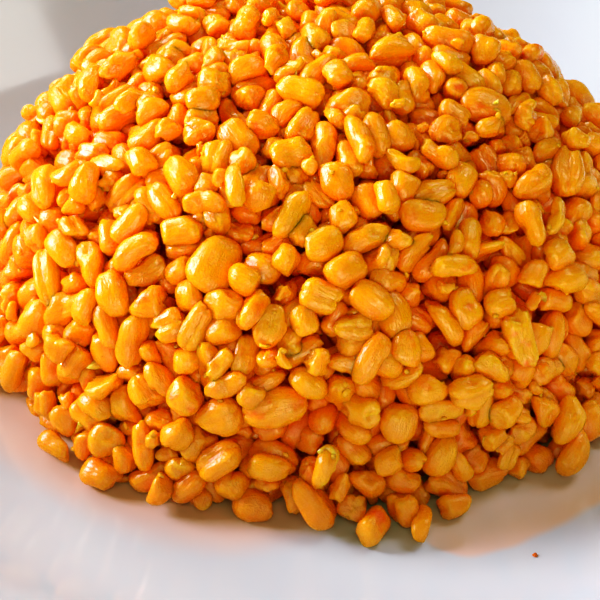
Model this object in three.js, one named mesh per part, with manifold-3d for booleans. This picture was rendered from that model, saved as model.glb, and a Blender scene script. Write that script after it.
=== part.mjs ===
// A shallow white porcelain bowl holding a moulded dome of cooked coarse bulgur.
//
// Frame: millimetres, +Z up. The origin is the centre of the foot ring's underside, where the bowl
// stands. The side that the eater sits at is -Y.
//
// The bowl is one turned solid. The heap is one solid too: a dome whose packed surface has a raised
// crown for each grain at true size, with whole kernels fused over it where they stand proud or have
// slid out at the foot.

import * as THREE from "three";
import { ConvexHull } from "three/addons/math/ConvexHull.js";
import { mergeVertices } from "three/addons/utils/BufferGeometryUtils.js";
import Module from "manifold-3d";

// ---- driving dimensions ----

const BOWL_DIAMETER = 216;
const BOWL_HEIGHT = 38;
const WALL = 4.2; // porcelain thickness of floor and side
const RIM_RADIUS = 1.6; // half the rounded lip's thickness
const FOOT_RADIUS = 50; // middle of the foot ring
const FOOT_WIDTH = 4.5;
const FOOT_HEIGHT = 3.6; // clear height inside the foot ring
const FOOT_TAPER = 1.5; // the ring widens inwards by this much towards the underside
const FOOT_SHOULDER = [1, 0.6]; // outwards and down from the underside, where the ring's side ends
const FLAT_RADIUS = 58; // the floor is flat out to here
const SIDE_POWER = 1.75; // 1 is a cone, more is a side that steepens towards the lip
const LIP_START = -Math.PI / 5; // the round lip's first angle, from level, and how far it turns
const LIP_SWEEP = 1.2 * Math.PI;
const BOWL_SIDES = 64;

const HEAP_RADIUS = 50; // dome at its foot, out to the grains' crowns
const HEAP_HEIGHT = 44;
const HEAP_POWER = 2.3; // 2 is a plain ellipse, more is boxier
const HEAP_GAP = 0.3; // the heap's underside stays this far off the glaze

const PACKED_GRAINS = 460; // grains of the packed surface, each about 6 mm long
const CROWN_WIDE = 0.5; // a grain's crown as a share of its cell, across and along the grain
const CROWN_LONG = 0.78;
const CROWN_DEPTH = [0, 1.3]; // how far a crown's top lies under the dome's outline
const CROWN_EDGE = 0.5; // its edge is this much lower
const CROWN_LEAN = 5; // how steeply a crown may tip, as depth over direction
const VALLEY_DEPTH = 2.9;
const MEETING_APART = 0.02; // radians, seen from the middle of the dome's foot
const SHAKE = 0.75; // how far a grain is moved off its even place, as a share of the spacing
const LOWEST = 0.38; // height of the lowest crowns' middles, as a share of the spacing

const LOOSE_GRAINS = 32; // whole kernels that lie proud of the others
const LOOSE_DEPTH = 1.1; // their middles lie this far under the dome's outline
const GRAIN_LENGTH = [5.6, 8]; // cooked coarse bulgur
const GRAIN_WIDTH = [3.8, 4.8];
const GRAIN_FLATNESS = 0.85; // thickness as a share of the width
const BLUNT = [0.5, 0.85]; // where a kernel's end begins, as a share of half its length
const SLID_OUT = [-1.5, -1.38, -1.22, -0.6, 0.9, 2.6, 4.1]; // azimuths, radians
const SLID_RISE = 0.05; // they lie nearly level with the middle of the dome's foot

const FLOOR_Z = FOOT_HEIGHT + WALL;
const HEAP_Z = FLOOR_Z + HEAP_GAP;
const GOLDEN_TURN = Math.PI * (3 - Math.sqrt(5));

// ---- materials ----

const porcelain = new THREE.MeshStandardMaterial({
  color: 0xf1efec,
  roughness: 0.16,
  metalness: 0,
});
const bulgur = new THREE.MeshStandardMaterial({
  color: 0xe8930f,
  roughness: 0.38,
  metalness: 0,
});

// ---- solids ----

const wasm = await Module();
wasm.setup();

// A closed geometry as a solid that can be joined and cut.
function solidOf(geometry) {
  const bare = geometry.clone();
  bare.deleteAttribute("normal");
  bare.deleteAttribute("uv");
  const merged = mergeVertices(bare, 1e-4);
  const corners = merged.index.array;
  const kept = [];
  for (let i = 0; i < corners.length; i += 3) {
    const [a, b, c] = corners.subarray(i, i + 3);
    if (a !== b && b !== c && a !== c) kept.push(a, b, c);
  }
  return new wasm.Manifold(
    new wasm.Mesh({
      numProp: 3,
      vertProperties: merged.attributes.position.array,
      triVerts: new Uint32Array(kept),
    }),
  );
}

function geometryOf(solid) {
  const mesh = solid.getMesh();
  const geometry = new THREE.BufferGeometry();
  geometry.setAttribute("position", new THREE.BufferAttribute(mesh.vertProperties, 3));
  geometry.setIndex(new THREE.BufferAttribute(mesh.triVerts, 1));
  geometry.computeVertexNormals();
  return geometry;
}

// A profile of [radius, height] pairs turned about Z.
function turned(profile, sides) {
  const points = profile.map(([radius, height]) => new THREE.Vector2(radius, height));
  return new THREE.LatheGeometry(points, sides).rotateX(Math.PI / 2);
}

// ---- the bowl ----

// Height of the inner surface at a radius: flat, then a side that steepens towards the lip.
function innerHeight(radius) {
  const lip = BOWL_DIAMETER / 2 - 2 * RIM_RADIUS;
  const out = Math.max(0, (radius - FLAT_RADIUS) / (lip - FLAT_RADIUS));
  return FLOOR_Z + (BOWL_HEIGHT - RIM_RADIUS - FLOOR_Z) * out ** SIDE_POWER;
}

function makeBowl() {
  const lip = BOWL_DIAMETER / 2 - RIM_RADIUS;
  const footIn = FOOT_RADIUS - FOOT_WIDTH / 2;
  const footOut = FOOT_RADIUS + FOOT_WIDTH / 2;
  const sideSteps = 6;
  const lipSteps = 4;
  const slopeStep = 0.5;
  const [shoulderOut, shoulderDown] = FOOT_SHOULDER;
  const underside = [
    [0, FOOT_HEIGHT],
    [footIn - FOOT_TAPER, FOOT_HEIGHT],
    [footIn, 0],
    [footOut, 0],
    [footOut + shoulderOut, FOOT_HEIGHT - shoulderDown],
  ];
  const inside = [];
  const outside = [];
  for (let i = 0; i <= sideSteps; i++) {
    const share = i / sideSteps;
    const radius = FLAT_RADIUS + (lip - RIM_RADIUS - FLAT_RADIUS) * share;
    inside.push([radius, innerHeight(radius)]);
    if (i > 0 && i < sideSteps) {
      // the outer side runs below the inner one, and comes closer to it near the lip
      const below = WALL + (2 * RIM_RADIUS - WALL) * share;
      const rise = innerHeight(radius + slopeStep) - innerHeight(radius - slopeStep);
      const slope = rise / (2 * slopeStep);
      const turn = Math.hypot(1, slope);
      outside.push([radius + (below * slope) / turn, innerHeight(radius) - below / turn]);
    }
  }
  const round = [];
  for (let i = 0; i <= lipSteps; i++) {
    const angle = LIP_START + (LIP_SWEEP * i) / lipSteps;
    round.push([
      lip + RIM_RADIUS * Math.cos(angle),
      BOWL_HEIGHT - RIM_RADIUS + RIM_RADIUS * Math.sin(angle),
    ]);
  }
  const profile = [...underside, ...outside, ...round, ...inside.reverse().slice(1), [0, FLOOR_Z]];
  return solidOf(turned(profile, BOWL_SIDES));
}

// ---- the heap ----

// A small seeded generator of numbers from 0 to 1, so that each build is the same.
function seeded(seed) {
  let state = seed;
  return () => {
    state = (Math.imul(state, 1664525) + 1013904223) >>> 0;
    return state / 4294967296;
  };
}

const random = seeded(20);
const between = ([low, high]) => low + (high - low) * random();

// The dome is a little wider towards its front and its right, as a turned-out mould slumps.
function slump(azimuth) {
  return 1 + 0.02 * Math.cos(azimuth + 0.9) + 0.01 * Math.cos(2 * azimuth + 0.4);
}

// The dome's surface in a direction from the middle of its foot, moved in by depth.
function onDome(direction, depth) {
  const wide = HEAP_RADIUS * slump(Math.atan2(direction.y, direction.x));
  const flat = Math.hypot(direction.x, direction.y) / wide;
  const tall = Math.abs(direction.z) / HEAP_HEIGHT;
  const reach = (flat ** HEAP_POWER + tall ** HEAP_POWER) ** (-1 / HEAP_POWER);
  return direction.clone().multiplyScalar(reach - depth);
}

// Directions to the middles of the packed grains, spread evenly by the golden turn and then
// shaken, so that no rows show.
function grainDirections(count) {
  const firstLevel = 0.62; // keeps the first grain off the floor and the last off the very top
  const spacing = Math.sqrt((2 * Math.PI) / count);
  const directions = [];
  for (let n = 0; n < count; n++) {
    const height = (n + firstLevel) / count;
    const level = Math.sqrt(1 - height * height);
    const direction = new THREE.Vector3(
      level * Math.cos(n * GOLDEN_TURN),
      level * Math.sin(n * GOLDEN_TURN),
      height,
    );
    const shake = new THREE.Vector3(random() - 0.5, random() - 0.5, random() - 0.5);
    direction.addScaledVector(shake, SHAKE * spacing);
    direction.z = Math.max(direction.z, LOWEST * spacing);
    directions.push(direction.normalize());
  }
  return directions;
}

// Three cells meet at the middle of the circle through a hull face's sites. Meetings that lie close
// together become one, so that no sliver is left between two valleys.
function joinCloseMeetings(faces) {
  for (const face of faces) {
    face.meeting = face.normal.clone().normalize();
    if (Math.abs(face.meeting.z) < MEETING_APART) face.meeting.setZ(0).normalize();
  }
  for (const face of faces) {
    for (const edge of [face.edge, face.edge.next, face.edge.prev]) {
      const kept = face.meeting;
      const dropped = edge.twin.face.meeting;
      if (kept === dropped || kept.distanceTo(dropped) > MEETING_APART) continue;
      if (dropped.z === 0) kept.copy(dropped);
      for (const other of faces) if (other.meeting === dropped) other.meeting = kept;
    }
  }
}

// The packed surface: each grain is a raised, lengthened crown inside its own cell, and the cells
// meet in valleys. Mirroring the directions in the floor makes the lowest cells end on the floor.
function makePackedCore() {
  const directions = grainDirections(PACKED_GRAINS);
  const grains = new Map();
  const sites = [];
  for (const up of directions) {
    const down = up.clone();
    down.z = -up.z;
    const heading = new THREE.Vector3(random() - 0.5, random() - 0.5, random() - 0.5);
    heading.addScaledVector(up, -heading.dot(up)).normalize();
    const lean = new THREE.Vector3(random() - 0.5, random() - 0.5, random() - 0.5);
    lean.multiplyScalar(CROWN_LEAN);
    grains.set(up, { down, heading, depth: between(CROWN_DEPTH), lean });
    sites.push(up, down);
  }
  const hull = new ConvexHull().setFromPoints(sites);
  joinCloseMeetings(hull.faces);

  const corners = [];
  const put = (...points) => points.forEach((p) => corners.push(p.x, p.y, p.z));
  const valley = (meeting) => onDome(meeting, VALLEY_DEPTH);
  for (const face of hull.faces) {
    for (const edge of [face.edge, face.edge.next, face.edge.prev]) {
      const site = edge.head().point;
      const grain = grains.get(site);
      // this edge of the grain's cell runs from one meeting to the other
      const near = face.meeting;
      const far = edge.twin.face.meeting;
      if (!grain || near === far) continue;
      const crownEdge = (meeting) => {
        const out = meeting.clone().sub(site);
        const along = out.dot(grain.heading);
        const point = site.clone().addScaledVector(out, CROWN_WIDE);
        point.addScaledVector(grain.heading, along * (CROWN_LONG - CROWN_WIDE));
        point.setZ(Math.max(point.z, MEETING_APART)).normalize();
        return onDome(point, grain.depth + CROWN_EDGE + point.clone().sub(site).dot(grain.lean));
      };
      put(onDome(site, grain.depth), crownEdge(near), crownEdge(far));
      put(crownEdge(near), valley(near), valley(far));
      put(crownEdge(near), valley(far), crownEdge(far));
      if (edge.tail().point === grain.down) put(new THREE.Vector3(), valley(far), valley(near));
    }
  }
  const core = new THREE.BufferGeometry();
  core.setAttribute("position", new THREE.Float32BufferAttribute(corners, 3));
  return solidOf(core.translate(0, 0, HEAP_Z));
}

// A kernel with six sides along Y: blunt where it was cracked, rounder where it is whole.
function makeGrain(length, width, thickness, bluntLow, bluntHigh) {
  const half = length / 2;
  const geometry = new THREE.LatheGeometry(
    [
      new THREE.Vector2(0, -half),
      new THREE.Vector2(0.5, -half * bluntLow),
      new THREE.Vector2(0.5, half * bluntHigh),
      new THREE.Vector2(0, half),
    ],
    6,
  );
  return geometry.scale(width, 1, thickness);
}

// A loose grain lying on the dome in a direction, turned and tilted as it fell.
function makeLooseGrain(direction, depth) {
  const length = between(GRAIN_LENGTH);
  const width = between(GRAIN_WIDTH);
  const thickness = width * GRAIN_FLATNESS;
  const geometry = makeGrain(length, width, thickness, between(BLUNT), between(BLUNT));
  const outward = direction.clone();
  const along = new THREE.Vector3(0, 0, 1).cross(outward).normalize();
  along.applyAxisAngle(outward, Math.PI * random());
  along.addScaledVector(outward, random() - 0.5).normalize();
  const across = along.clone().cross(outward).normalize();
  const turn = new THREE.Matrix4().makeBasis(across, along, across.clone().cross(along));
  geometry.applyMatrix4(turn.setPosition(onDome(direction, depth)));
  geometry.computeBoundingBox();
  const low = geometry.boundingBox.min.z;
  return solidOf(geometry.translate(0, 0, HEAP_Z + Math.max(0, -low)));
}

function makeLooseGrains() {
  const grains = [];
  const firstLevel = 0.9;
  const firstAzimuth = 0.5;
  for (let n = 0; n < LOOSE_GRAINS; n++) {
    const height = (n + firstLevel) / LOOSE_GRAINS;
    const level = Math.sqrt(1 - height ** 2);
    const azimuth = firstAzimuth + n * GOLDEN_TURN;
    const direction = new THREE.Vector3(
      level * Math.cos(azimuth),
      level * Math.sin(azimuth),
      height,
    );
    grains.push(makeLooseGrain(direction.normalize(), LOOSE_DEPTH));
  }
  // a few grains have slid out at the foot, on the eater's side
  for (const azimuth of SLID_OUT) {
    const direction = new THREE.Vector3(Math.cos(azimuth), Math.sin(azimuth), SLID_RISE);
    grains.push(makeLooseGrain(direction.normalize(), 0));
  }
  return grains;
}

// ---- assembly ----

function piece(name, solid, material) {
  const mesh = new THREE.Mesh(geometryOf(solid), material);
  mesh.name = name;
  return mesh;
}

// The heap is what holds together: a grain that touches nothing is dropped.
function makeHeap() {
  const joined = wasm.Manifold.union([makePackedCore(), ...makeLooseGrains()]);
  return joined.decompose().reduce((a, b) => (a.volume() > b.volume() ? a : b));
}

const bowlOfPilaf = new THREE.Group();
bowlOfPilaf.add(piece("bowl", makeBowl(), porcelain));
bowlOfPilaf.add(piece("pilaf_heap", makeHeap(), bulgur));

export default bowlOfPilaf;
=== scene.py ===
# A moulded dome of cooked coarse bulgur in a shallow white porcelain bowl, seen from close by.
#
# Sizes in this file are millimetres, and become metres where a mesh is made. The heap's own
# sums are in the heap's frame, whose origin is the middle of the heap's foot.

import bpy
import numpy as np
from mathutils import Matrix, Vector


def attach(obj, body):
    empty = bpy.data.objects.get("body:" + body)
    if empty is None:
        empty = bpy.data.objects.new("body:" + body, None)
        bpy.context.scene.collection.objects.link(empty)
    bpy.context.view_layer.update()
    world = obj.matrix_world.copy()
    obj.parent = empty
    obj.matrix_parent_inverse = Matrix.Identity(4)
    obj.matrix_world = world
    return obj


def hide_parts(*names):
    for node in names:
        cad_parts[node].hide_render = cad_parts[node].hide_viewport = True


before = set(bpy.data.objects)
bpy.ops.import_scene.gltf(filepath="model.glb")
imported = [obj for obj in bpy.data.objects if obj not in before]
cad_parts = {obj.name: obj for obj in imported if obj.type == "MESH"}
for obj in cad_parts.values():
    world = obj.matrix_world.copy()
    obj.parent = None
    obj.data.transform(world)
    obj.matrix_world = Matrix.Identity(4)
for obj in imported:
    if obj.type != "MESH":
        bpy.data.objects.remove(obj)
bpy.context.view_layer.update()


# ---- camera ----
# It stands on the eater's side and looks down at the dome from close by, so the bowl's edge
# stays outside the picture. The distance and the lens are those of a close food picture.

MM = 0.001
CAMERA_ELEVATION = np.radians(38)
CAMERA_DISTANCE = 400
CAMERA_AIM = (-1.3, -10.0, 15.0)
LENS = 162
SENSOR = 36

toward_camera = np.array([0, -np.cos(CAMERA_ELEVATION), np.sin(CAMERA_ELEVATION)])
camera = bpy.data.objects.new("camera", bpy.data.cameras.new("camera"))
camera.location = Vector((np.array(CAMERA_AIM) + CAMERA_DISTANCE * toward_camera) * MM)
camera.rotation_euler = Vector(-toward_camera).to_track_quat("-Z", "Y").to_euler()
camera.data.lens = LENS
camera.data.sensor_width = SENSOR
camera.data.clip_start = 0.01
bpy.context.scene.collection.objects.link(camera)
bpy.context.scene.camera = camera


# ---- the bowl ----
# A shallow round bowl of white porcelain, turned in one piece, glazed all over and wiped bare
# under its foot ring. Orange cooking oil has crept a little way out from under the heap; its tint
# also paints the heap's shadow and the orange light the heap throws on the glaze.

BOWL_DIAMETER = 216
BOWL_HEIGHT = 38
WALL = 4.2
RIM_RADIUS = 1.6
FOOT_RADIUS = 50
FOOT_WIDTH = 4.5
FOOT_HEIGHT = 3.6
FLAT_RADIUS = 58
FOOT_LEAN = 1.5
FILLET = 0.7
SIDE_POWER = 1.75
FLOOR_Z = FOOT_HEIGHT + WALL
BOWL_COLUMNS = 224


def put_mesh(name, points, face_groups):
    """Points in millimetres and groups of faces, each group an array of corner numbers with one
    row a face, become a smooth mesh on an object at the origin."""
    corners = np.concatenate([faces.ravel() for faces in face_groups])
    sizes = np.concatenate([np.full(len(faces), faces.shape[1]) for faces in face_groups])
    mesh = bpy.data.meshes.new(name)
    mesh.vertices.add(len(points))
    mesh.vertices.foreach_set("co", (points * MM).astype(np.float32).ravel())
    mesh.loops.add(len(corners))
    mesh.loops.foreach_set("vertex_index", corners.astype(np.int32))
    mesh.polygons.add(len(sizes))
    mesh.polygons.foreach_set("loop_start", (np.cumsum(sizes) - sizes).astype(np.int32))
    mesh.polygons.foreach_set("use_smooth", np.ones(len(sizes), dtype=bool))
    mesh.update(calc_edges=True)
    mesh.validate()
    piece = bpy.data.objects.new(name, mesh)
    bpy.context.scene.collection.objects.link(piece)
    return piece


def closed_grid_faces(rows, columns):
    """Faces of a closed skin: point 0 is one pole, the last point the other, and between them
    lie rows of points, each a closed ring of columns."""
    ring = np.arange(columns)
    after = (ring + 1) % columns
    start = 1 + columns * np.arange(rows - 1)[:, None]
    quads = np.stack([start + ring, start + after, start + columns + after, start + columns + ring], -1)
    last = 1 + rows * columns
    first_fan = np.stack([np.zeros(columns, int), after + 1, ring + 1], -1)
    last_fan = np.stack([np.full(columns, last), last - columns + ring, last - columns + after], -1)
    return quads.reshape(-1, 4), np.concatenate([first_fan, last_fan])


def inner_height(radius):
    """The glaze inside the bowl: flat to the flat radius, then rising as a power of the way out
    to the lip."""
    lip = BOWL_DIAMETER / 2 - 2 * RIM_RADIUS
    out = np.clip((radius - FLAT_RADIUS) / (lip - FLAT_RADIUS), 0, None)
    return FLOOR_Z + (BOWL_HEIGHT - RIM_RADIUS - FLOOR_Z) * out**SIDE_POWER


def filleted(corners, radius, steps=5):
    """Rounds the inner corners of an outline. Each becomes a quadratic curve from a point one
    radius before the corner c to one a radius after it: (1-t)^2 a + 2t(1-t) c + t^2 b."""
    corners = np.array(corners, float)
    middle = corners[1:-1]
    before = corners[:-2] - middle
    after = corners[2:] - middle
    a = middle + before / np.linalg.norm(before, axis=1, keepdims=True) * radius
    b = middle + after / np.linalg.norm(after, axis=1, keepdims=True) * radius
    t = np.linspace(0, 1, steps)[None, :, None]
    curve = (1 - t) ** 2 * a[:, None] + 2 * t * (1 - t) * middle[:, None] + t**2 * b[:, None]
    return curve.reshape(-1, 2)


def bowl_profile():
    """The half section as [radius, height], from under the middle, round the foot ring, up the
    outer side, over the round lip and down the inner side to the middle of the floor."""
    lip = BOWL_DIAMETER / 2 - RIM_RADIUS
    foot_in = FOOT_RADIUS - FOOT_WIDTH / 2
    foot_out = FOOT_RADIUS + FOOT_WIDTH / 2
    foot = [
        [0, FOOT_HEIGHT],
        [foot_in - FOOT_LEAN, FOOT_HEIGHT],
        [foot_in, 0],
        [foot_out, 0],
        [foot_out + 1, FOOT_HEIGHT - 0.6],
        [FLAT_RADIUS + 2, FOOT_HEIGHT],
    ]
    share = np.linspace(0, 1, 60)
    radius = FLAT_RADIUS + (lip - RIM_RADIUS - FLAT_RADIUS) * share
    below = WALL + (2 * RIM_RADIUS - WALL) * share
    slope = np.gradient(inner_height(radius), radius)
    turn = np.hypot(1, slope)
    outer = np.stack([radius + below * slope / turn, inner_height(radius) - below / turn], -1)
    around = np.radians(np.linspace(-36, 180, 16))
    round_lip = np.stack([lip + RIM_RADIUS * np.cos(around), np.sin(around) * RIM_RADIUS], -1)
    round_lip[:, 1] += BOWL_HEIGHT - RIM_RADIUS
    inner = np.stack([radius, inner_height(radius)], -1)[::-1][1:]
    floor = np.stack([np.linspace(FLAT_RADIUS, 4, 12)[1:], np.full(11, FLOOR_Z)], -1)
    under = np.stack([np.linspace(4, foot_in - 8, 8), np.full(8, FOOT_HEIGHT)], -1)
    # the outer side leaves out its first points, over the foot, and its last, inside the lip
    return np.concatenate([under, filleted(foot, FILLET), outer[6:-3], round_lip, inner, floor])


profile = bowl_profile()
turn_angle = 2 * np.pi * np.arange(BOWL_COLUMNS) / BOWL_COLUMNS
rings = np.stack(
    [
        profile[:, :1] * np.cos(turn_angle),
        profile[:, :1] * np.sin(turn_angle),
        np.repeat(profile[:, 1:], BOWL_COLUMNS, 1),
    ],
    -1,
)
bowl_points = np.concatenate([[[0, 0, FOOT_HEIGHT]], rings.reshape(-1, 3), [[0, 0, FLOOR_Z]]])
bowl_shell = put_mesh("bowl_shell", bowl_points, closed_grid_faces(len(profile), BOWL_COLUMNS))


def new_material(name):
    """An empty node material with its Principled shader."""
    material = bpy.data.materials.new(name)
    material.use_nodes = True
    return material, material.node_tree.nodes, material.node_tree.links


def set_values(node, **values):
    """Sets a node's input sockets, with underscores for the spaces in their names."""
    for key, value in values.items():
        node.inputs[key.replace("_", " ")].default_value = value
    return node


def math_node(nodes, links, operation, first, second, third=None):
    """A Math node on sockets or plain numbers, and its output socket."""
    node = nodes.new("ShaderNodeMath")
    node.operation = operation
    for socket, value in zip(node.inputs, (first, second, third)):
        if isinstance(value, bpy.types.NodeSocket):
            links.new(value, socket)
        elif value is not None:
            socket.default_value = value
    return node.outputs[0]


def mixed_colour(nodes, links, factor, first, second):
    """A colour Mix node: the factor is a socket, and the colours are sockets or plain values."""
    node = nodes.new("ShaderNodeMix")
    node.data_type = "RGBA"
    for name, value in (("Factor_Float", factor), ("A_Color", first), ("B_Color", second)):
        socket = next(s for s in node.inputs if s.identifier == name)
        if isinstance(value, bpy.types.NodeSocket):
            links.new(value, socket)
        else:
            socket.default_value = (*value, 1)
    return next(s for s in node.outputs if s.identifier == "Result_Color")


def noise(nodes, links, vector, scale, detail, roughness=0.55):
    """A noise texture's value at a place, from 0 to 1."""
    node = set_values(nodes.new("ShaderNodeTexNoise"), Scale=scale, Detail=detail, Roughness=roughness)
    links.new(vector, node.inputs["Vector"])
    return node.outputs["Fac"]


def vector_node(nodes, links, operation, first, second=None):
    """A Vector Math node on a vector socket, and with a plain vector where it takes two."""
    node = nodes.new("ShaderNodeVectorMath")
    node.operation = operation
    links.new(first, node.inputs[0])
    if second is not None:
        node.inputs[1].default_value = second
    return node.outputs


def stretched(nodes, links, value, low, high, to_low=0.0, to_high=1.0):
    """Maps low..high to another range, smoothly and clamped."""
    node = nodes.new("ShaderNodeMapRange")
    node.interpolation_type = "SMOOTHSTEP"
    set_values(node, From_Min=low, From_Max=high, To_Min=to_low, To_Max=to_high)
    links.new(value, node.inputs["Value"])
    return node.outputs["Result"]


def bump(nodes, links, height, distance, strength):
    """A Bump node over a height, distance in metres."""
    node = set_values(nodes.new("ShaderNodeBump"), Distance=distance, Strength=strength)
    links.new(height, node.inputs["Height"])
    return node.outputs["Normal"]


GLAZE_WHITE = (0.575, 0.615, 0.685)
GLAZE_CLOUDED = (0.566, 0.606, 0.675)
GLAZE_ROUGHNESS = 0.07
BARE_CLAY = (0.72, 0.68, 0.60)
OIL_AND_SHADOW_TINT = (0.80, 0.50, 0.40)
OIL_AND_SHADOW_STRENGTH = 0.8
OIL_AND_SHADOW_RADIUS = 50
OIL_AND_SHADOW_THICK_RADIUS = 62
OIL_AND_SHADOW_RAGGED = 5
# runs of oil and painted shadow: azimuth, half the angle it is whole over and half the angle it
# ends at, all in degrees, then how far out and over how many millimetres it fades, and how thick
# it is by the heap
OIL_AND_SHADOW_RUNS = ((-44, 25, 35, 13.5, 2.0, 0.45), (-155, 52, 78, 5.0, 8.0, 1.0))


def oil_and_shadow_film(nodes, links, place):
    """How much oil lies at a place on the glaze, from 0 to 1; its tint also paints the heap's shadow
    and the orange light the heap throws there. A run covers a fan of directions out to its reach,
    is ragged and fades at its edge, and may be thinner by the heap than further out."""
    flat = vector_node(nodes, links, "MULTIPLY", place, (1, 1, 0))["Vector"]
    length = vector_node(nodes, links, "LENGTH", flat)["Value"]
    heading = vector_node(nodes, links, "NORMALIZE", flat)["Vector"]
    ragged = noise(nodes, links, place, 60, 2)
    edge = math_node(nodes, links, "MULTIPLY_ADD", ragged, OIL_AND_SHADOW_RAGGED * MM, length)
    oil = 0
    for azimuth, whole, end, reach, fade, by_heap in OIL_AND_SHADOW_RUNS:
        turn, whole, end = np.radians((azimuth, whole, end))
        toward = vector_node(nodes, links, "DOT_PRODUCT", heading, (np.cos(turn), np.sin(turn), 0))
        lobe = stretched(nodes, links, toward["Value"], np.cos(end), np.cos(whole))
        run = math_node(nodes, links, "MULTIPLY_ADD", lobe, -reach * MM, edge)
        film = stretched(nodes, links, run, OIL_AND_SHADOW_RADIUS * MM, (OIL_AND_SHADOW_RADIUS + fade) * MM, 1, 0)
        film = math_node(nodes, links, "MULTIPLY", film, lobe)
        thick = stretched(nodes, links, length, OIL_AND_SHADOW_RADIUS * MM, OIL_AND_SHADOW_THICK_RADIUS * MM, by_heap, 1)
        film = math_node(nodes, links, "MULTIPLY", film, thick)
        oil = math_node(nodes, links, "MAXIMUM", film, oil)
    return oil


def glaze_material():
    """White glaze, faintly clouded and uneven, bare clay under the foot, and oil by the heap, whose tint
    also paints the heap's shadow and the orange light it throws.
    """
    material, nodes, links = new_material("white_glaze")
    shader = nodes["Principled BSDF"]
    place = nodes.new("ShaderNodeTexCoord").outputs["Object"]
    parts = nodes.new("ShaderNodeSeparateXYZ")
    links.new(place, parts.inputs[0])
    clear = stretched(nodes, links, noise(nodes, links, place, 25, 3), 0.3, 0.7)
    white = mixed_colour(nodes, links, clear, GLAZE_CLOUDED, GLAZE_WHITE)
    # painted shadow: the oil tint also stands for the heap's shadow and the orange light it throws on the
    # glaze
    oil = math_node(nodes, links, "MULTIPLY", oil_and_shadow_film(nodes, links, place), OIL_AND_SHADOW_STRENGTH)
    oily_and_shaded = mixed_colour(nodes, links, oil, white, OIL_AND_SHADOW_TINT)
    bare = stretched(nodes, links, parts.outputs["Z"], 0.2 * MM, 0.7 * MM, 1, 0)
    links.new(mixed_colour(nodes, links, bare, oily_and_shaded, BARE_CLAY), shader.inputs["Base Color"])
    uneven = noise(nodes, links, place, 120, 3)
    gloss = math_node(nodes, links, "MULTIPLY_ADD", uneven, 0.06, GLAZE_ROUGHNESS)
    rough = math_node(nodes, links, "MULTIPLY_ADD", bare, 0.6, gloss)
    links.new(rough, shader.inputs["Roughness"])
    peel = noise(nodes, links, place, 90, 2)
    links.new(bump(nodes, links, peel, 0.2 * MM, 0.25), shader.inputs["Normal"])
    return material


bowl_shell.data.materials.append(glaze_material())
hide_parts("bowl")
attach(bowl_shell, "root")


# ---- the heap's core ----
# The bulgur under the grains that show: packed in the mould and wet with oil. Its dark orange
# and dark red are painted shade, as it is seen only deep in the gaps.
# It is modelled as one lumpy body, a little inside the outline of the dome.

HEAP_RADIUS = 50
HEAP_HEIGHT = 44
HEAP_POWER = 2.3
HEAP_Z = FLOOR_Z + 0.3
CORE_DEPTH = 8.5
CORE_ROWS = 60
CORE_COLUMNS = 180


def slump(azimuth):
    """How much wider than round the dome is at an azimuth: more towards its front and right."""
    return 1 + 0.02 * np.cos(azimuth + 0.9) + 0.01 * np.cos(2 * azimuth + 0.4)


def dome_reach(direction):
    """Distance from the middle of the foot to the dome's outline, where
    (flat / radius)^power + (up / height)^power = 1."""
    flat = np.hypot(direction[..., 0], direction[..., 1])
    wide = HEAP_RADIUS * slump(np.arctan2(direction[..., 1], direction[..., 0]))
    tall = np.abs(direction[..., 2]) / HEAP_HEIGHT
    return ((flat / wide) ** HEAP_POWER + tall**HEAP_POWER) ** (-1 / HEAP_POWER)


def dome_depth(points):
    """How far points lie under the outline, and the outward normal there: the gradient of the
    outline's formula, with the depth measured along it."""
    far = np.linalg.norm(points, axis=-1, keepdims=True)
    direction = points / np.maximum(far, 1e-6)
    flat = np.maximum(np.hypot(points[..., 0], points[..., 1]), 1e-6)
    wide = HEAP_RADIUS * slump(np.arctan2(points[..., 1], points[..., 0]))
    sideways = (flat / wide) ** (HEAP_POWER - 1) / wide / flat
    upwards = (np.maximum(points[..., 2], 1e-3) / HEAP_HEIGHT) ** (HEAP_POWER - 1) / HEAP_HEIGHT
    normal = np.stack([points[..., 0] * sideways, points[..., 1] * sideways, upwards], -1)
    normal /= np.linalg.norm(normal, axis=-1, keepdims=True)
    under = (dome_reach(direction) - far[..., 0]) * (normal * direction).sum(-1)
    return under, normal


def waves(places, seed, count, length, height):
    """Gentle lumps: the mean of plane waves with random headings, length apart."""
    draw = np.random.default_rng(seed)
    heading = draw.normal(size=(count, 3))
    heading *= 2 * np.pi / length / np.linalg.norm(heading, axis=1, keepdims=True)
    phase = draw.uniform(0, 2 * np.pi, count)
    return height * np.sin(places @ heading.T + phase).mean(-1)


def directions(polar, columns):
    """Unit vectors at rows of polar angles from z and at equal steps round it."""
    around = 2 * np.pi * np.arange(columns) / columns
    level = np.sin(polar)[:, None]
    height = np.repeat(np.cos(polar)[:, None], columns, 1)
    return np.stack([level * np.cos(around), level * np.sin(around), height], -1)


core_out = directions(np.linspace(0, np.pi / 2, CORE_ROWS + 1)[1:], CORE_COLUMNS)
core_skin = core_out * (dome_reach(core_out) - CORE_DEPTH)[..., None]
core_skin += core_out * waves(core_skin, seed=3, count=24, length=6.5, height=4.5)[..., None]
core_skin[..., 2] = np.maximum(core_skin[..., 2], 0)
core_skin[-1, :, 2] = 0
core_top = np.array([[0, 0, HEAP_HEIGHT - CORE_DEPTH]])
core_points = np.concatenate([core_top, core_skin.reshape(-1, 3), [[0, 0, 0]]]) + [0, 0, HEAP_Z]
core_quads, core_fans = closed_grid_faces(CORE_ROWS, CORE_COLUMNS)
heap_core = put_mesh("heap_core", core_points, [core_quads[:, ::-1], core_fans[:, ::-1]])

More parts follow.
